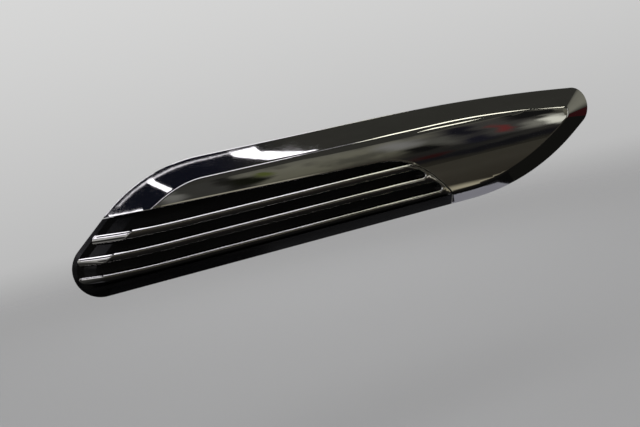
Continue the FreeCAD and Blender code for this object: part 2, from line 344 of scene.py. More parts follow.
class LeafForm:
    order = ("sill", "chin", "fall", "roof", "nose")

    def __init__(self, values):
        self.values = values
        slope = {key: math.radians(angle) for key, angle in values["slopes"].items()}
        ways = {"sill": 0.0, "chin": slope["chin"], "fall": math.pi - slope["fall"],
                "roof": math.pi, "nose": math.pi + slope["nose"]}
        points = {"sill": (0.0, values["sillZ"]), "roof": (0.0, values["roofZ"]), **values["points"]}
        self.ways = np.array([ways[key] for key in self.order])
        self.points = np.array([points[key] for key in self.order])
        self.left = np.stack((-np.sin(self.ways), np.cos(self.ways)), 1)
        self.along = np.stack((np.cos(self.ways), np.sin(self.ways)), 1)
        self.rise = values["crownApex"] + values["headroom"] - values["edge"]
        fullRise = self.rise / (values["crease"] - values["edge"])
        self.insets = np.array([values["insets"][key] for key in self.order]) * fullRise
        self.low, self.lowRadii = self.corners(0.0, 0.0)
        self.high, self.highRadii = self.corners(1.0, fullRise)

    def corners(self, share, rise):  # centres and radii of the five corners
        values, count = self.values, len(self.order)
        points = self.points + self.left * (self.insets * share)[:, None]
        lines = [(*points[i], self.ways[i]) for i in range(count)]
        ends = [crossing(lines[i], lines[(i + 1) % count]) for i in range(count)]
        radii, cuts = [], []
        for i, key in enumerate(self.order):
            change = values["radii"][key] - values["creaseRadii"][key]
            radii.append(max(values["radii"][key] - change * rise, values["leastRadius"]))
            turn = math.remainder(self.ways[(i + 1) % count] - self.ways[i], 2 * math.pi)
            cuts.append(radii[i] * math.tan(abs(turn) / 2))
        shares = [min(1.0, values["sideShare"] * math.dist(ends[i - 1], ends[i]) / (cuts[i - 1] + cuts[i]))
                  for i in range(count)]
        centres = []
        for i in range(count):
            share = min(shares[i], shares[(i + 1) % count])
            radii[i], cuts[i] = radii[i] * share, cuts[i] * share
            centres.append(ends[i] - self.along[i] * cuts[i] + self.left[i] * radii[i])
        return np.array(centres), np.array(radii)

    def clearance(self, x, z, t):  # how far a point lies inside the outline at t
        best, spot = np.full(x.shape, farOff), np.stack((x, z), -1)
        for i, left in enumerate(self.left):
            best = np.minimum(best, (spot - self.points[i]) @ left - self.insets[i] * t)
            centre = self.low[i] + (self.high[i] - self.low[i]) * t[..., None]
            radius = self.lowRadii[i] + (self.highRadii[i] - self.lowRadii[i]) * t
            away = spot - centre
            before, after = away @ self.along[i], away @ self.along[(i + 1) % len(self.order)]
            bend = np.minimum(best, radius - np.linalg.norm(away, axis=-1))
            best = np.where((before > 0) & (after < 0), bend, best)
        return best

    def bevel(self, x, z, inset=0.0):  # height of the bevel's surface, moved in by inset
        x, z = np.asarray(x, float), np.asarray(z, float)
        low, high = np.full(x.shape, -0.4), np.full(x.shape, 1.2)  # a little past both ends
        return self.values["edge"] + self.rise * lastWhere(lambda t: self.clearance(x, z, t) > inset, low, high)

    def crown(self, z):
        radius, away = self.values["crownRadius"], np.asarray(z) - self.values["crownZ"]
        return self.values["crownApex"] - radius + np.sqrt(radius ** 2 - away ** 2)

    def height(self, x, z):  # the bevels and the crowned face, with a soft crease
        first, second, soft = self.bevel(x, z), self.crown(z), self.values["softness"]
        for place, key in ((z, "lowSoftness"), (x, "tipSoftness")):
            more, start, over = self.values[key]
            soft = soft + more * np.clip((np.asarray(place) - start) / over, 0.0, 1.0)
        near = np.maximum(soft - np.abs(first - second), 0.0) / soft
        return np.minimum(first, second) - near ** 2 * soft / 4

    def outline(self, t=0.0):  # closed and anticlockwise
        centres = self.low + (self.high - self.low) * t
        radii = self.lowRadii + (self.highRadii - self.lowRadii) * t
        spacing, degrees = self.values["columnSpacing"], self.values["columnTurn"]
        line, count = [], len(self.order)
        for i in range(count):
            following = (i + 1) % count
            before = self.ways[i]
            turn = math.remainder(self.ways[following] - before, 2 * math.pi)
            steps = math.ceil(max(math.degrees(turn) / degrees, turn * self.lowRadii[i] / spacing))
            line += arc(centres[i], radii[i], before - math.pi / 2, turn, steps)
            side = self.left[following]
            start, last = centres[following] - side * radii[following], line[-1]
            ends = [self.low[k] - side * self.lowRadii[k] for k in (i, following)]
            pieces = max(1, math.ceil(math.dist(*ends) / spacing))
            line += [last + (start - last) * k / pieces for k in range(1, pieces)]
        return np.array(line)

    def grid(self):  # rows of points that follow the bevel and the crease
        low, high = self.outline(0.0), self.outline(1.0)

        def under(t):
            return self.values["edge"] + self.rise * t < self.crown((low + (high - low) * t[:, None])[:, 1])

        crease = low + (high - low) * lastWhere(under, np.zeros(len(low)), np.ones(len(low)))[:, None]
        way = (high - low) / np.linalg.norm(high - low, axis=1)[:, None]
        rows = [low + (crease - low) * share for share in self.values["bevelRows"]]
        return np.array(rows + [crease + way * offset for offset in self.values["creaseRows"]])

    def face(self, xs, zs):  # rows of points on the crowned face
        grid = np.stack(np.meshgrid(xs, zs), -1)
        over = self.bevel(grid[..., 0], grid[..., 1]) - self.crown(grid[..., 1])
        grid[over < self.values["faceClear"]] = np.nan
        return grid


form = LeafForm(leaf)
seat = LeafForm({**leaf, "insets": {**leaf["insets"], "nose": leaf["trayNose"]}})


# plates: a closed line in plan with a formed top, rounded edges, upright walls and an underside

def outwards(line):  # mitred normals of a closed anticlockwise line
    ahead = np.roll(line, -1, 0) - line
    ahead /= np.linalg.norm(ahead, axis=1)[:, None]
    sides = np.stack((ahead[:, 1], -ahead[:, 0]), 1)
    both = sides + np.roll(sides, 1, 0)
    return both / (1 + (sides * np.roll(sides, 1, 0)).sum(1))[:, None]


def inside(points, line):
    x, z = points[:, 0], points[:, 1]
    hits = np.zeros(len(points), bool)
    for (ax, az), (bx, bz) in zip(line, np.roll(line, -1, 0)):
        if az != bz:
            hits ^= ((az > z) != (bz > z)) & (x < (bx - ax) * (z - az) / (bz - az) + ax)
    return hits


def distanceTo(points, line):
    best = np.full(len(points), farOff)
    for a, b in zip(line, np.roll(line, -1, 0)):
        way = b - a
        t = np.clip(((points - a) @ way) / (way @ way), 0, 1)
        best = np.minimum(best, np.linalg.norm(points - a - t[:, None] * way, axis=1))
    return best


def triangles(line, grids, margin=0.12, leastArea=5e-8):  # fills a closed line, along the rows of the grids
    points, edges = [line], [(i, (i + 1) % len(line)) for i in range(len(line))]
    count = len(line)
    for grid, closed in grids:
        spots = grid.reshape(-1, 2)
        kept = ~np.isnan(spots[:, 0])
        kept[kept] = inside(spots[kept], line)
        kept[kept] = distanceTo(spots[kept], line) > margin
        ids = np.full(len(spots), -1)
        ids[kept] = count + np.arange(kept.sum())
        ids = ids.reshape(grid.shape[:2])
        across = (ids, np.roll(ids, -1, 1)) if closed else (ids[:, :-1], ids[:, 1:])
        for a, b in (across, (ids[:-1], ids[1:])):
            both = (a >= 0) & (b >= 0)
            edges += list(zip(a[both].tolist(), b[both].tolist()))
        points.append(spots[kept])
        count += int(kept.sum())
    points = np.concatenate(points)
    made = delaunay_2d_cdt([Vector(p) for p in points.tolist()], edges, [], 0, tooNear, True)
    source = np.array([ids[0] if ids else -1 for ids in made[3]])
    faces = source[np.array(made[2])]
    faces = faces[(faces >= 0).all(1)]
    faces = faces[inside(points[faces].mean(1), line)]
    a, b = (points[faces[:, k]] - points[faces[:, 0]] for k in (1, 2))
    area = a[:, 0] * b[:, 1] - a[:, 1] * b[:, 0]
    faces = np.where((area > 0)[:, None], faces, faces[:, ::-1])
    return points, faces[np.abs(area) / 2 > leastArea]


def newPiece(name, points, faces, material, nodes=()):
    mesh = bpy.data.meshes.new(name)
    mesh.from_pydata((points * mm).tolist(), [], faces)
    mesh.shade_smooth()
    mesh.materials.append(finishes[material])
    made = newObject(name, mesh)
    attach(made, "root")
    if nodes:
        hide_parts(*nodes)
    return mesh


class Plate:
    steps = 7  # along each rounded edge

    def __init__(self, line, radii):
        self.line, self.radii = line, radii
        self.points, self.normals, self.faces, self.plain = [], [], [], 0

    def addPoints(self, plan, height, normal):
        first = sum(len(p) for p in self.points)
        self.points.append(np.stack((plan[:, 0], -height, plan[:, 1]), 1))
        self.normals.append(normal / np.linalg.norm(normal, axis=1)[:, None])
        return np.arange(first, first + len(plan))

    def build(self, top, under, grids):
        def facing(plan, step=0.02):
            x, z = plan.T
            slopeX = (top(x + step, z) - top(x - step, z)) / (2 * step)
            slopeZ = (top(x, z + step) - top(x, z - step)) / (2 * step)
            return np.stack((-slopeX, -np.ones_like(slopeX), -slopeZ), -1)

        way, radii = outwards(self.line), self.radii[:, None]
        flatWay = way / np.linalg.norm(way, axis=1)[:, None]
        side = np.stack((flatWay[:, 0], np.zeros(len(way)), flatWay[:, 1]), 1)
        plan, faces = triangles(self.line - way * radii, grids)
        ids = self.addPoints(plan, top(*plan.T), facing(plan))
        self.faces += ids[faces].tolist()
        rows = [ids[:len(way)]]
        for k in range(1, self.steps + 1):
            turn = math.pi / 2 * k / self.steps
            plan = self.line - way * radii * (1 - math.sin(turn))
            slope = facing(plan)
            slope /= np.linalg.norm(slope, axis=1)[:, None]
            height = top(*plan.T) - self.radii * (1 - math.cos(turn))
            rows.append(self.addPoints(plan, height, math.sin(turn) * side + math.cos(turn) * slope))
        foot = under(*self.line.T)
        rows.append(self.addPoints(self.line, foot, side))
        for upper, lower in zip(rows, rows[1:]):
            for i in range(len(way)):
                k = (i + 1) % len(way)
                self.faces.append((lower[i], lower[k], upper[k], upper[i]))
        plan, faces = triangles(self.line, grids)
        more = plan[len(way):]
        backwards = np.tile((0.0, 1.0, 0.0), (len(more), 1))
        ids = np.concatenate((rows[-1], self.addPoints(more, under(*more.T), backwards)))
        self.plain = len(self.faces)  # from here on the faces are flat
        self.faces += ids[faces[:, ::-1]].tolist()

    def piece(self, name, nodes):
        mesh = newPiece(name, np.concatenate(self.points), self.faces, "chromePlate", nodes)
        normals, corners = np.concatenate(self.normals), []
        for polygon in mesh.polygons:
            plain = polygon.index >= self.plain
            corners += [tuple(polygon.normal) if plain else tuple(normals[v]) for v in polygon.vertices]
        mesh.normals_split_custom_set(corners)


def underside(x, z):  # on the tray's face, and down its sloping edge
    return np.clip(seat.bevel(x, z, leaf["foot"] + leaf["footGap"]) - leaf["edge"], 0.0, leaf["tray"])


# the joint between the blade and the louvres

joint = {
    "rear": (-180.0, 11.2),
    "front": (12.0, 5.8),
    "slant": (53.1, -15.1),
    "slantSlope": 47.2,  # degrees
    "drop": (66.9, -35.4),
    "dropSlope": 67.4,
    "turnRadius": 60.0,
    "dropRadius": 10.0,
    "gap": 0.3,
    "start": -230.0,  # x where the line is begun, beyond the leaf
    "overrun": 15,  # steps that it goes on past the last turn
}


def jointLine(values, shift, spacing=2.0, turnStep=2.5):  # moved by shift towards the blade, rear to sill
    first = math.atan2(values["front"][1] - values["rear"][1], values["front"][0] - values["rear"][0])
    ways = (first, -math.radians(values["slantSlope"]), -math.radians(values["dropSlope"]))
    lines = []
    for (x, z), way in zip((values["front"], values["slant"], values["drop"]), ways):
        lines.append((x - shift * math.sin(way), z + shift * math.cos(way), way))
    start = values["start"]
    line = [np.array((start, lines[0][1] - (lines[0][0] - start) * math.tan(first)))]
    for k, key in enumerate(("turnRadius", "dropRadius")):
        vertex, radius, before = crossing(lines[k], lines[k + 1]), values[key] + shift, ways[k]
        turn = before - ways[k + 1]
        start = vertex - radius * math.tan(turn / 2) * unit(before)
        centre = start - radius * unit(before + math.pi / 2)
        last = line[-1]
        run = math.ceil(math.dist(last, start) / spacing)
        line += [last + (start - last) * i / run for i in range(1, run)]
        line += arc(centre, radius, before + math.pi / 2, -turn, math.ceil(turn / math.radians(turnStep)))
    return np.array(line + [line[-1] + i * spacing * unit(ways[2]) for i in range(1, values["overrun"] + 1)])


def meeting(line, other):  # first place where two open lines cross
    for i, (a, b) in enumerate(zip(line, line[1:])):
        for k, (c, d) in enumerate(zip(other, other[1:])):
            spot = intersect_line_line_2d(Vector(a), Vector(b), Vector(c), Vector(d))
            if spot:
                return np.array(spot), i, k
    raise ValueError("the lines don't meet")


formGrid = (form.grid(), True)


# blade

bladeLook = {
    "rimRounding": 0.25,  # mm, at the edge on the wing
    "seamRounding": 0.5,  # along the joint
    "cornerClear": 2.0,  # no short runs this near to the rim's corners with the joint
    "faceSpacing": (2.4, 1.8),
    "land": 1.3,  # width of the narrow tilted face along the straight joint
    "landTilt": 18.0,  # degrees
    "landEnds": (-154.0, 40.0),
    "landFade": 5.0,
    "landRows": (-0.62, -0.04, 0.08),  # rows of points, from the land's far side
    "landClear": 0.6,  # past which other rows may come
}


def bladeLine(clear):  # round the leaf from the sill to the tail, and back along the joint
    rim = form.outline()
    rim = np.roll(rim, -int(np.argmin(np.hypot(rim[:, 0], rim[:, 1] - leaf["sillZ"]))), 0)
    seam = jointLine(joint, 0.0)
    sillSpot, sillRim, sillSeam = meeting(rim, seam[::-1])
    tailSpot, tailRim, tailSeam = meeting(rim[::-1], seam)
    sillSeam, tailRim = len(seam) - 2 - sillSeam, len(rim) - 2 - tailRim
    line = np.array([*rim[sillRim + 1:tailRim + 1], *seam[tailSeam + 1:sillSeam + 1]])
    for spot in (tailSpot, sillSpot):
        line = line[np.linalg.norm(line - spot, axis=1) > clear]
    far = int(np.argmin(np.linalg.norm(line - tailSpot, axis=1)))
    after = far if line[far][1] < tailSpot[1] else far + 1
    return np.array([sillSpot, *line[:after], tailSpot, *line[after:]]), after + 2


def makeBlade(look):
    line, seam = bladeLine(look["cornerClear"])
    plate = Plate(line, np.where(np.arange(len(line)) < seam, look["rimRounding"], look["seamRounding"]))
    start, end = look["landEnds"]
    land, fadeOver = look["land"], look["landFade"]

    def landLine(shift):
        rim = jointLine(joint, shift)
        return rim[(rim[:, 0] > start) & (rim[:, 0] < end)]

    edge = landLine(0.0)
    edge = np.concatenate((edge, edge[-2:0:-1]))  # there and back, so that it closes on itself

    def top(x, z):
        away = distanceTo(np.stack((x.ravel(), z.ravel()), 1), edge).reshape(x.shape)
        fade = np.clip((x - start) / fadeOver, 0.0, 1.0) * np.clip((end - x) / fadeOver, 0.0, 1.0)
        depth = np.clip(land - away, 0.0, land) * math.tan(math.radians(look["landTilt"]))
        return form.height(x, z) - depth * fade

    def clear(grid):  # no other rows across the land's
        kept = grid.copy()
        away = distanceTo(np.nan_to_num(grid.reshape(-1, 2), nan=farOff), edge).reshape(grid.shape[:2])
        kept[away < land + look["landClear"]] = np.nan
        return kept

    xs = np.arange(leafLow.x / mm, leafHigh.x / mm, look["faceSpacing"][0])
    zs = np.arange(leaf["sillZ"], leaf["roofZ"], look["faceSpacing"][1])
    rows = [(landLine(land + row)[None], False) for row in look["landRows"]]
    plate.build(top, underside, [(clear(formGrid[0]), True), (clear(form.face(xs, zs)), False), *rows])
    plate.piece("bladeShell", ["blade"])


makeBlade(bladeLook)
print("blade made")


# louvres and the strip that they run into

louvres = {
    "tops": (0.2, -11.4, -23.2),
    "width": 5.4,
    "strip": 1.9,  # width
    "stripCorner": 0.8,
    "stripClear": (1.5, 1.0),  # no other points this near to its lower and upper ends
    "hook": 1.6,  # inner radius where a louvre's top edge turns up
    "gapCorner": 3.2,  # inner radius at the other corner of each slot
    "tailCorner": 1.6,
    "tailSearch": (-230.0, -120.0, 2201),  # from, to, places tried
    "tailLift": 2.6,  # how far each louvre bends up at its rear end
    "tailLength": 60.0,  # length over which it does
    "topRoundings": (2.0, 2.3, 2.6),
    "lowRounding": 0.7,
    "sideRounding": 0.55,  # of the strip and the tails
    "sag": 2.0,  # how much further back the face lies at its lower edge
    "stripBlend": 5.0,  # length over which that runs out towards the strip
    "stripOver": 3.0,  # how far above the louvres the strip's back is followed
    "reach": 0.3,  # how far past a louvre's edges its face is carried on, in widths
    "faceEnd": 70.0,
    "faceSpacing": 2.0,
    "faceRows": (1.5, 0.8, 6),  # from the top edge, to the lower edge, count
}


def rounded(corners, spacing=2.0, turnStep=15.0):  # corners: place, radius, rounding of the next side
    line, full = [], []
    for i, (spot, radius, after) in enumerate(corners):
        spot, before = np.array(spot), corners[i - 1][2]
        back, ahead = np.array(corners[i - 1][0]) - spot, np.array(corners[(i + 1) % len(corners)][0]) - spot
        back, ahead = back / np.linalg.norm(back), ahead / np.linalg.norm(ahead)
        if radius:
            half = math.acos(max(-1.0, min(1.0, back @ ahead))) / 2
            start, end = spot + back * radius / math.tan(half), spot + ahead * radius / math.tan(half)
            centre = spot + (back + ahead) / np.linalg.norm(back + ahead) * radius / math.sin(half)
            steps = max(3, math.ceil(math.degrees(math.pi - 2 * half) / turnStep))
            first, last = (math.atan2(*(end - centre)[::-1]) for end in (start, end))
            bend = arc(centre, radius, first, math.remainder(last - first, 2 * math.pi), steps)
            line += [np.array((*p, before + (after - before) * k / steps)) for k, p in enumerate(bend)]
        else:
            line.append(np.array((*spot, (before + after) / 2)))
    for a, b in zip(line, line[1:] + line[:1]):
        run = max(1, math.ceil(math.dist(a[:2], b[:2]) / spacing))
        full += [a + (b - a) * k / run for k in range(run)]
    return np.array(full)[:, :2], np.array(full)[:, 2]


def tailAt(values, z):  # where the bevel has sunk to the rim
    xs = np.linspace(*values["tailSearch"])
    high = form.bevel(xs, np.full(len(xs), z)) > leaf["rim"]
    return xs[np.argmax(high)]


def tailLift(values, x, z):
    edges = values["tops"][::-1]
    away = (x - np.interp(z, edges, [tailAt(values, edge) for edge in edges])) / values["tailLength"]
    return values["tailLift"] * np.clip(1.0 - away, 0.0, 1.0) ** 2


def combLine(values):
    front, back = jointLine(joint, -joint["gap"]), jointLine(joint, -joint["gap"] - values["strip"])

    def across(line, z):  # where a line crosses a level, seen from the front
        k = np.nonzero((line[:-1, 1] >= z) & (line[1:, 1] < z))[0][-1]
        a, b = line[k], line[k + 1]
        return (a[0] + (b[0] - a[0]) * (a[1] - z) / (a[1] - b[1]), z)

    tops, topOf = values["tops"], dict(zip(values["tops"], values["topRoundings"]))
    side, under, lift = values["sideRounding"], values["lowRounding"], values["tailLift"]
    low, highest = min(tops) - values["width"], max(tops)
    overLow, underHigh = values["stripClear"]
    corners = [(across(front, low), values["stripCorner"], side)]
    corners += [(tuple(p), 0.0, side) for p in front[::-1] if low + overLow < p[1] < highest - underHigh]
    corners.append((across(front, highest), values["stripCorner"], topOf[highest]))
    for edge in tops:
        if edge != highest:
            between = [p for p in back if edge + values["hook"] < p[1] < level - values["gapCorner"]]
            corners += [(tuple(p), 0.0, side) for p in between]
            corners.append((across(back, edge), values["hook"], topOf[edge]))
        corners.append(((tailAt(values, edge + lift), edge), values["tailCorner"], side))
        level = edge - values["width"]
        corners.append(((tailAt(values, level + lift), level), values["tailCorner"], under))
        if edge != min(tops):
            corners.append((across(back, level), values["gapCorner"], side))
    line, roundings = rounded(corners)
    line[:, 1] += tailLift(values, line[:, 0], line[:, 1])
    return line, roundings


def makeLouvres(look):
    line, roundings = combLine(look)
    plate = Plate(line, roundings)
    back = jointLine(joint, -joint["gap"] - look["strip"])
    back = back[back[:, 1] < max(look["tops"]) + look["stripOver"]][::-1]

    def top(x, z):
        down, level = np.zeros_like(z), z - tailLift(look, x, z)
        for edge in look["tops"]:
            share = (edge - level) / look["width"]
            down = np.where(np.abs(share - 0.5) < 0.5 + look["reach"], np.maximum(share, 0.0), down)
        away = np.clip((np.interp(z, back[:, 1], back[:, 0]) - x) / look["stripBlend"], 0.0, 1.0)
        return form.height(x, z) - look["sag"] * down ** 2 * away ** 2 * (3 - 2 * away)

    xs = np.arange(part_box("fin_middle")[0].x / mm, look["faceEnd"], look["faceSpacing"])
    first, last, count = look["faceRows"]
    zs = np.concatenate([edge - np.linspace(first, look["width"] - last, count) for edge in look["tops"]])
    plate.build(top, underside, [formGrid, (form.face(xs, np.sort(zs)), False)])
    plate.piece("louvreComb", ["fin_upper", "fin_middle", "fin_lower", "end_strip"])


makeLouvres(louvres)
print("louvres made")


# fastenings behind the tray, seen from the wing's side

columns = 40  # of points round each turned body
axis = 0.02  # least radius in a profile
trayBack = 4.0  # height
sharpAngle = 40  # degrees, from which an edge isn't smoothed


def turned(profile, spot):  # points and faces of a round body, from radius and height
    points, faces = [], []
    angles = np.arange(columns) * 2 * math.pi / columns
    for radius, height in profile:
        radius = radius + np.zeros(columns)
        points += np.stack((spot[0] + radius * np.cos(angles), -height + np.zeros(columns),
                            spot[1] + radius * np.sin(angles)), 1).tolist()
    for row in range(len(profile) - 1):
        for k in range(columns):
            a, b = row * columns + k, row * columns + (k + 1) % columns
            faces.append((a, b, b + columns, a + columns))
    return points, faces


def finishedPiece(name, parts, material, nodes=()):
    points, faces = [], []
    for morePoints, moreFaces in parts:
        faces += [tuple(len(points) + i for i in face) for face in moreFaces]
        points += morePoints
    mesh = newPiece(name, np.array(points), faces, material, nodes)
    build = bmesh.new()
    build.from_mesh(mesh)
    bmesh.ops.recalc_face_normals(build, faces=build.faces)
    build.to_mesh(mesh)
    build.free()
    mesh.set_sharp_from_angle(angle=math.radians(sharpAngle))


stakes = {
    "xs": (-140.0, -60.0, 15.0),
    "radius": 1.5,
    "headProfile": ((axis, 3.38), (0.45, 3.33), (0.8, 3.2), (1.35, 3.22), (1.9, 3.36), (2.25, 3.6), (2.38, 3.85),
                    (2.38, trayBack)),
    "stripPin": 0.8,  # radius
    "chamfer": 0.1,
}


def makeStakes(values):  # the louvres' pins, melted over behind the tray
    front, radius, parts = leaf["tray"], values["radius"], []
    profile = (*values["headProfile"], (radius, trayBack), (radius, front))
    for edge in louvres["tops"]:
        for x in values["xs"]:
            parts.append(turned(profile, (x, edge - louvres["width"] / 2)))
    shift, way = joint["gap"] + louvres["strip"] / 2, math.radians(joint["slantSlope"])
    spot = joint["slant"][0] - shift * math.sin(way), joint["slant"][1] - shift * math.cos(way)
    radius, chamfer = values["stripPin"], values["chamfer"]
    profile = ((axis, trayBack), (radius - chamfer, trayBack), (radius, trayBack + chamfer), (radius, front))
    parts.append(turned(profile, spot))
    finishedPiece("stakeHeads", parts, "meltedPlate")


studs = {
    "places": {"studRear": ("stud_rear", -120.0), "studFront": ("stud_front", 120.0)},
    "radius": 2.5,
    "end": 16.0,  # how far behind the seat
    "root": 3.5,  # height where it leaves the tray
    "flangeProfile": ((4.7, 0.0), (4.95, 0.12), (5.0, 0.4), (5.0, 1.5)),
    "pitch": 0.8,
    "pitchRows": 8,
    "threadDepth": 0.42,
    "threadStart": 1.4,  # from the flange
    "neck": 0.05,  # how much thinner it is under the flange
    "flank": 1.25,  # steepness of the thread's sides
    "crest": 0.1,  # how flat its crests are
    "point": 0.8,  # length of the pointed end
    "pointSlope": 0.9,
    "tip": 0.75,  # how much thinner its end is
}


def makeStud(name, node, x, values):
    radius, end, start, pitch, root = (values[key] for key in ("radius", "end", "threadStart", "pitch", "root"))
    profile = [(axis, 0.0), *values["flangeProfile"]]
    flange = turned([*profile, (radius, profile[-1][1]), (radius, root), (axis, root)], (x, 0.0))
    turn = np.arange(columns) / columns
    thread = [(radius - values["neck"], 0.0)]
    for along in np.arange(start, end, pitch / values["pitchRows"]):
        wave = np.abs(((along / pitch - turn) % 1.0) * 2 - 1)
        cut = values["threadDepth"] * np.clip(wave * values["flank"] - values["crest"], 0.0, 1.0)
        cut = np.maximum(cut, (along - end + values["point"]) * values["pointSlope"])
        cut = cut * min(1.0, (along - start) / pitch)
        thread.append((radius - cut, -along))
    thread += [(radius - values["tip"], -end), (axis, -end)]
    finishedPiece(name, [flange, turned(thread, (x, 0.0))], "zincSteel", [node])


screws = {
    "count": 5,
    "radius": 3.0,
    "height": 1.8,
    "rounding": 0.7,
    "roundingSteps": 5,
    "arm": 1.6,  # of the recess, from its middle
    "width": 0.42,  # half of an arm's
    "depth": 1.1,
    "taper": 0.55,  # size of its bottom, as a share of its mouth
}


def makeScrew(name, node, values):  # pan head with a cross recess
    low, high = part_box(node)
    x, z = (low.x + high.x) / 2 / mm, (low.z + high.z) / 2 / mm
    radius, rounding, steps = values["radius"], values["rounding"], values["roundingSteps"]
    top, inner = trayBack - values["height"], radius - rounding
    turns = [math.pi / 2 * (steps - k) / steps for k in range(steps + 1)]
    sides = [(inner + rounding * math.cos(a), top + rounding - rounding * math.sin(a)) for a in turns]
    body = turned([*sides, (radius, trayBack), (axis, trayBack)], (x, z))
    w, arm, taper = values["width"], values["arm"], values["taper"]
    cross = [(arm, w), (w, w), (w, arm), (-w, arm), (-w, w), (-arm, w)]
    cross += [(-a, -b) for a, b in cross]
    plan = np.array(arc(0.0, inner, 0.0, 2 * math.pi, columns)[:-1] + cross)
    edges = [(k, (k + 1) % columns) for k in range(columns)]
    count = len(cross)
    walls = [(columns + k, columns + (k + 1) % count) for k in range(count)]
    made = delaunay_2d_cdt([Vector(p) for p in plan], edges + walls, [], 0, tooNear, True)
    faces = [tuple(made[3][i][0] for i in face) for face in made[2]]
    faces = [f for f in faces if not inside(plan[list(f)].mean(0)[None], np.array(cross))[0]]
    points = [(x + p[0], -top, z + p[1]) for p in plan]
    points += [(x + p[0] * taper, -top - values["depth"], z + p[1] * taper) for p in cross]
    faces += [(a, b, b + count, a + count) for a, b in walls]
    faces.append(tuple(columns + count + k for k in range(count)))
    finishedPiece(name, [body, (points, faces)], "screwSteel", [node])


makeStakes(stakes)
for name, (node, x) in studs["places"].items():
    makeStud(name, node, x, studs)
for number in range(1, screws["count"] + 1):
    makeScrew(f"screw{number}", f"screw_{number}", screws)
print("fastenings made")


# camera

camera = {
    "yaw": 24.0,  # degrees, from the rear of the trim
    "lift": 5.0,  # degrees above it
    "roll": 12.18,
    "distance": 0.641,
    "target": (-0.0375, 0.0, -0.0194),
    "lens": 52.28,
    "sensor": 36.0,
    "nearest": 0.01,
}


def makeCamera(values):
    yaw, lift, roll = (math.radians(values[key]) for key in ("yaw", "lift", "roll"))
    back = Vector((-math.sin(yaw) * math.cos(lift), -math.cos(yaw) * math.cos(lift), math.sin(lift)))
    side = Vector((0, 0, 1)).cross(back).normalized()
    up = back.cross(side)
    right = math.cos(roll) * side - math.sin(roll) * up
    up = math.sin(roll) * side + math.cos(roll) * up
    eye = newObject("camera", bpy.data.cameras.new("camera"))
    place = Matrix((right, up, back)).transposed().to_4x4()
    place.translation = Vector(values["target"]) + back * values["distance"]
    eye.matrix_world = place
    eye.data.lens, eye.data.sensor_width, eye.data.clip_start = values["lens"], values["sensor"], values["nearest"]
    bpy.context.scene.camera = eye


makeCamera(camera)

# room: pale world and floor, and dark and bright cards that only the plating sees

floorZ, topZ, wallY, behindY, frontX, rearX = -0.25, 1.3, -2.6, 2.2, 3.0, -3.0
coolLight, warmLight = (0.93, 0.91, 1.0), (1.0, 0.99, 0.84)
ceilingDark, ceilingPale = (0.0075, 0.0085, 0.015), (0.044, 0.044, 0.039)

outside = {
    "paleTop": (0.72, 0.72, 0.715),
    "paleLow": (0.38, 0.38, 0.382),
    "horizon": (-0.35, 0.35),
    "light": 0.75,
    "floorTone": (0.34, 0.34, 0.343),
    "floorFade": (0.5, 3.6),
    "floorReach": 4.0,
    "keyLamp": ((-0.7, -1.1, 1.1), (0.9, 0.6), 9.0),  # place, size, power
    "backLamp": ((0.5, 1.2, 0.8), (0.8, 0.8), 6.0),
}


def makeWorld(values):
    world = bpy.data.worlds.new("world")
    bpy.context.scene.world = world
    r = Recipe(world)
    height = r.axis("Z", r.add("ShaderNodeTexCoord", out="Generated"))
    pale = r.blend(height.fade(*values["horizon"]), values["paleLow"], values["paleTop"])
    shown = r.add("ShaderNodeBackground", {}, {"Color": pale, "Strength": 1.0})
    light = r.add("ShaderNodeBackground", {}, {"Color": (1, 1, 1, 1), "Strength": values["light"]})
    seen = r.add("ShaderNodeLightPath", out="Is Camera Ray")
    for ray in ("Is Glossy Ray", "Is Transmission Ray"):
        seen = seen.most(r.add("ShaderNodeLightPath", out=ray))
    both = r.add("ShaderNodeMixShader", {}, {0: seen, 1: light, 2: shown})
    r.add("ShaderNodeOutputWorld", {}, {"Surface": both})


def makeSheet(name, corners, material):
    mesh = bpy.data.meshes.new(name)
    mesh.from_pydata(corners, [], [tuple(range(len(corners)))])
    mesh.materials.append(material)
    sheet = newObject(name, mesh)
    return sheet


def makeFloor(values):
    material, r = newMaterial("floorPaint")
    far = values["floorReach"]
    paint = r.add("ShaderNodeBsdfDiffuse", {}, {"Color": r.colour(values["floorTone"])})
    clear = r.add("ShaderNodeBsdfTransparent")
    both = r.add("ShaderNodeMixShader", {}, {0: r.length(r.place()).fade(*values["floorFade"]), 1: paint, 2: clear})
    r.add("ShaderNodeOutputMaterial", {}, {"Surface": both})
    makeSheet("floor", flat((-far, far, -far, far), floorZ), material)


def makeLamp(name, place, size, power):
    lamp = bpy.data.lights.new(name, "AREA")
    lamp.shape, lamp.size, lamp.size_y, lamp.energy = "RECTANGLE", *size, power
    holder = newObject(name, lamp)
    holder.location = place
    holder.rotation_euler = (-Vector(place)).to_track_quat("-Z", "Y").to_euler()
    holder.visible_glossy = False


def flat(shape, z):  # a level sheet from its limits or its points
    if not isinstance(shape[0], tuple):
        x0, x1, y0, y1 = shape
        shape = ((x0, y0), (x1, y0), (x1, y1), (x0, y1))
    return [(x, y, z) for x, y in shape]


def upright(x0, y0, x1, y1, low, high):
    return [(x0, y0, low), (x1, y1, low), (x1, y1, high), (x0, y0, high)]


def ceilingTone(r, spot):
    return r.blend(r.axis("X", spot).fade(0.38, 0.6), ceilingDark, ceilingPale)


def topTone(r, spot):
    return r.blend(r.axis("X", spot).fade(0.5, 0.7), coolLight, warmLight)


def upwards(r, spot, stops):  # tones from just under the floor up to the top of the wall
    return r.ramp((r.axis("Z", spot) + 0.3) / 1.8, stops)


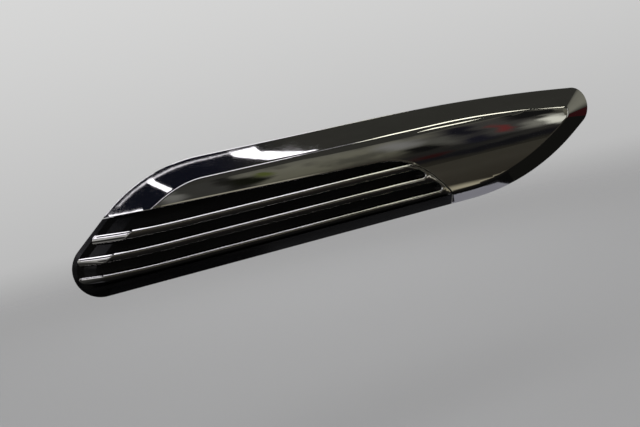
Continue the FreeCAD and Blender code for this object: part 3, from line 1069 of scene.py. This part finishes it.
def sideTone(r, spot):  # what shows in the plating from the front of the car: pale, with a dark band low down
    stops = [(0.0, (0.36, 0.36, 0.35)), (0.16, (0.2, 0.2, 0.19)), (0.3, (0.5, 0.5, 0.49)), (1.0, (0.72, 0.72, 0.71))]
    return upwards(r, spot, stops)


def wallTone(r, spot):
    stops = [(0.0, (0.03, 0.028, 0.022)), (0.25, (0.02, 0.019, 0.016)), (0.42, (0.05, 0.048, 0.038)),
             (0.55, (0.16, 0.157, 0.12)), (0.78, (0.19, 0.187, 0.15)), (1.0, (0.14, 0.138, 0.12))]
    tone = upwards(r, spot, stops)
    streak = r.noise(r.vector("MULTIPLY", spot, (4.0, 1.0, 1.2)), 1.6, 3.0).fade(0.45, 0.7)
    tone = r.blend(streak * 0.55, tone, (0.03, 0.03, 0.028))
    return r.blend(1 - r.axis("X", spot).fade(-1.5, 0.3), tone, sideTone(r, spot))


def nearFloorTone(r, spot):
    stops = [(0.0, (0.05, 0.047, 0.037)), (0.58, (0.052, 0.048, 0.038)), (0.72, (0.04, 0.036, 0.028)),
             (0.79, (0.014, 0.013, 0.012)), (0.86, (0.005, 0.005, 0.005)), (1.0, (0.004, 0.004, 0.004))]
    tone = r.ramp((r.axis("Y", spot) + 2.6) / 3.0, stops)
    pale = r.blend(r.length(spot).fade(0.4, 2.4), (0.6, 0.6, 0.58), (0.25, 0.25, 0.24))
    return r.blend(1 - r.axis("X", spot).fade(-0.85, -0.3), tone, pale)


wallPatches = (  # place along x and z, size along them, softness, tone
    (0.68, 1.0, 0.24, 0.8, 0.35, (0.05, 0.05, 0.046)),
    (0.61, 0.98, 0.05, 0.22, 0.7, (0.2, 0.2, 0.19)),
    (0.86, 1.1, 0.04, 0.7, 0.7, (0.02, 0.02, 0.018)),
    (0.92, 0.93, 0.075, 0.19, 0.5, (0.009, 0.01, 0.006)),
    (1.0, 1.08, 0.03, 0.1, 0.6, (0.1, 0.12, 0.03)),
    (1.6, 0.95, 0.09, 0.22, 0.8, (0.24, 0.24, 0.235)),
    (2.0, 0.7, 0.32, 0.62, 0.4, (0.06, 0.058, 0.055)),
    (1.64, 0.53, 0.09, 0.2, 0.6, (0.008, 0.008, 0.008)),
    (1.78, 0.25, 0.42, 0.13, 0.6, (0.02, 0.02, 0.019)),
    (1.75, 0.75, 0.05, 0.2, 0.8, (0.1, 0.1, 0.09)),
    (1.9, 0.95, 0.07, 0.3, 0.6, (0.013, 0.013, 0.018)),
    (1.9, 0.42, 0.07, 0.16, 0.7, (0.014, 0.014, 0.022)),
    (2.05, 0.66, 0.035, 0.17, 0.8, (0.16, 0.035, 0.035)),
    (1.62, 0.15, 0.07, 0.1, 0.9, (0.03, 0.008, 0.008)),
    (2.3, 1.05, 0.15, 0.3, 0.4, (0.012, 0.012, 0.012)),
    (1.95, 0.0, 0.6, 0.12, 0.7, (0.01, 0.01, 0.012)),
    (2.2, 0.5, 0.06, 0.17, 0.9, (0.25, 0.25, 0.22)),
    (2.31, 0.5, 0.07, 0.22, 0.5, (0.95, 0.96, 0.86)),
    (-2.6, 0.3, 0.5, 0.5, 0.3, (0.03, 0.03, 0.03)),
)
nearFloorPatches = (  # along x and y
    (0.05, -1.7, 0.6, 1.0, 0.4, (0.085, 0.083, 0.062)),
    (0.345, -0.352, 0.05, 0.05, 0.9, (0.5, 0.46, 0.34)),
    (0.16, -0.63, 0.19, 0.07, 0.3, (0.42, 0.4, 0.33)),
    (0.62, -0.2, 0.18, 0.1, 0.4, (0.4, 0.39, 0.34)),
    (-0.85, -0.4, 0.65, 0.6, 0.3, (0.04, 0.04, 0.038)),
    (-1.42, -1.44, 0.07, 0.09, 0.5, (0.06, 0.06, 0.06)),
)
frontPatches = (  # along y and z
    (-0.62, 0.62, 0.34, 0.6, 0.7, (0.22, 0.22, 0.185)),
    (-0.5, 0.2, 0.25, 0.35, 0.8, (0.25, 0.25, 0.21)),
)


def makeCard(name, corners, tone, strength=1.0, patches=(), ripple=0.0):
    material, r = newMaterial(name)
    spot = r.place()
    if callable(tone):
        tone = tone(r, spot)
    if ripple:
        wander = r.add("ShaderNodeTexNoise", {}, {"Vector": spot, "Scale": 5.0, "Detail": 2.0}, out="Color")
        wander = r.vector("SUBTRACT", wander, (0.5, 0.5, 0.5))
        spot = r.vector("ADD", spot, r.vector("MULTIPLY", wander, (ripple, ripple, ripple * 2)))
    across = [len({corner[k] for corner in corners}) for k in range(3)].index(1)
    for first, second, width, height, soft, patch in patches:  # ellipses on the card, one over the other
        centre, size = [first, second], [width, height]
        centre.insert(across, corners[0][across])
        size.insert(across, 1.0)
        away = r.length(r.vector("DIVIDE", r.vector("SUBTRACT", spot, centre), size))
        tone = r.blend(1 - away.fade(1 - soft, 1 + soft), tone, patch)
    glow = r.add("ShaderNodeEmission", {}, {"Color": r.colour(tone), "Strength": strength})
    r.add("ShaderNodeOutputMaterial", {}, {"Surface": glow})
    card = makeSheet(name, corners, material)
    card.visible_camera = card.visible_diffuse = card.visible_shadow = False
    card.visible_transmission = card.visible_volume_scatter = False


cards = {  # corners, tone, strength, patches on it, how far their outlines wander
    "ceilingCard": (flat((-3.5, 4.5, wallY, behindY), topZ + 0.05), ceilingTone),
    "wallCard": (upright(-4.0, wallY, 5.0, wallY, floorZ, 1.5), wallTone, 1.0, wallPatches, 0.15),
    "nearFloorCard": (flat((-3.0, 4.0, wallY, 0.4), floorZ + 0.005), nearFloorTone, 1.0, nearFloorPatches),
    # sillShadowCard: a grey-lilac sheet just above the floor under the sill, seen only in the plating: painted shadow
    # of the part on the floor, in the sill's reflection
    "sillShadowCard": (flat((0.0, 0.195, 0.048, 0.3), floorZ + 0.0062), (0.4, 0.4, 0.42)),
    "underCard": (flat(((0.198, 0.0437), (0.203, 0.0437), (0.203, 0.033), (0.25, 0.0315), (0.3, 0.0285),
                        (0.34, 0.037), (0.34, 0.2), (0.198, 0.2)), floorZ + 0.006), (0.3, 0.3, 0.35)),
    "lipCard": (flat((-0.3, 0.198, 0.0437, 0.2), floorZ + 0.006), (0.05, 0.05, 0.055)),
    "slotLamp": (flat(((0.32, -0.46), (0.345, -0.455), (0.5, -0.8), (0.66, -1.2), (0.63, -1.2), (0.475, -0.81)),
                      floorZ + 0.0065), (1.0, 0.97, 0.86)),
    "chinFloorCard": (flat((0.34, 1.05, -0.3, 0.6), floorZ + 0.007), (0.009, 0.009, 0.008)),
    "redFloorCard": (flat((1.05, 3.0, -0.6, 0.6), floorZ + 0.008), (0.035, 0.007, 0.008)),
    "frontCard": (upright(frontX, -1.2, frontX, 0.3, floorZ, 1.25), (0.012, 0.012, 0.011), 1.0, frontPatches),
    "stripLampRear": (flat((-0.35, 0.72, -1.34, -1.16), topZ), coolLight, 2.6),
    "stripLampThin": (flat((0.72, 0.95, -1.3, -1.24), topZ), coolLight, 1.5),
    "stripLampFront": (flat((0.95, 1.57, -1.42, -1.08), topZ), warmLight, 3.0),
    "stripLampSide": (flat((1.44, 1.67, -1.97, -1.83), topZ), warmLight, 2.6),
    "stripLampTip": (flat((1.775, 2.0, -1.5, -0.9), topZ), warmLight, 3.0),
    "wedgeLamp": (flat(((0.405, -0.655), (0.47, -0.655), (0.484, -0.67), (0.51, -0.6755), (0.535, -0.6815),
                        (0.561, -0.687), (0.588, -0.693), (0.63, -0.72), (0.66, -0.8), (0.6, -0.78), (0.55, -0.715),
                        (0.509, -0.698), (0.459, -0.682), (0.417, -0.668)), topZ), coolLight, 3.2),
    "sideLamp": (flat(((-3.5, -0.85), (-1.9, -0.85), (-1.05, -1.0), (-1.05, -1.95), (-3.5, -2.35)), topZ),
                 coolLight, 2.0),
    "cornerLamp": (flat(((-0.3, -0.667), (-0.215, -0.664), (-0.2, -0.675), (-0.16, -0.685), (-0.115, -0.695),
                         (-0.07, -0.703), (-0.045, -0.709), (-0.12, -0.712), (-0.17, -0.7), (-0.215, -0.69),
                         (-0.26, -0.68)), topZ), coolLight, 2.8),
    "noseLamp": (flat(((-0.93, -0.696), (-0.8, -0.7075), (-0.6, -0.7195), (-0.485, -0.7255), (-0.485, -0.78),
                       (-0.93, -0.78)), topZ), coolLight, 2.8),
    "edgeLamp": (flat(((-0.8, -0.689), (-0.72, -0.688), (-0.6, -0.681), (-0.45, -0.6735), (-0.35, -0.6685),
                       (-0.2, -0.6645), (0.0, -0.6595), (0.2, -0.6575), (0.33, -0.6565), (0.42, -0.6555),
                       (0.42, -0.659), (0.33, -0.66), (0.2, -0.661), (0.0, -0.6635), (-0.2, -0.6685),
                       (-0.35, -0.673), (-0.45, -0.677), (-0.6, -0.6845), (-0.72, -0.6915)), topZ), coolLight, 1.4),
    "topLamp": (flat(((-1.4, 0.1), (-0.3, 0.1), (-0.15, -0.35), (0.1, -0.55), (0.78, -0.56), (0.85, -0.3),
                      (0.8, -0.05), (0.6, 0.1), (0.6, 1.7), (-1.4, 1.7)), topZ), topTone, 3.0),
    "rearCard": (upright(rearX, wallY, rearX, behindY, floorZ, topZ), sideTone),
    "foldShade": (flat((-0.2, 0.0, -0.6, 1.7), topZ - 0.002), ceilingDark),
    "hookLamp": (flat((0.62, 0.95, 0.2, 0.5), topZ - 0.001), coolLight, 1.6),
    "topPale": (flat((0.62, 2.6, 0.12, 1.5), topZ), (0.3, 0.3, 0.3)),
    # behindShadeCard: a near-black sheet behind the part, seen only in the plating; besides the dark room behind, it
    # darkens the outer edge of the rim as painted shade of a shaded gap round the rim
    "behindShadeCard": (upright(rearX, behindY, 4.0, behindY, floorZ, topZ), (0.01, 0.01, 0.011)),
    "sideStrip": (upright(frontX, -2.4, frontX, -1.7, floorZ, 0.6), (0.7, 0.7, 0.62)),
}

makeWorld(outside)
makeFloor(outside)
for name, card in cards.items():
    makeCard(name, *card)
for name in ("keyLamp", "backLamp"):
    makeLamp(name, *outside[name])
bpy.context.scene.view_settings.view_transform = "Standard"
print("room set")
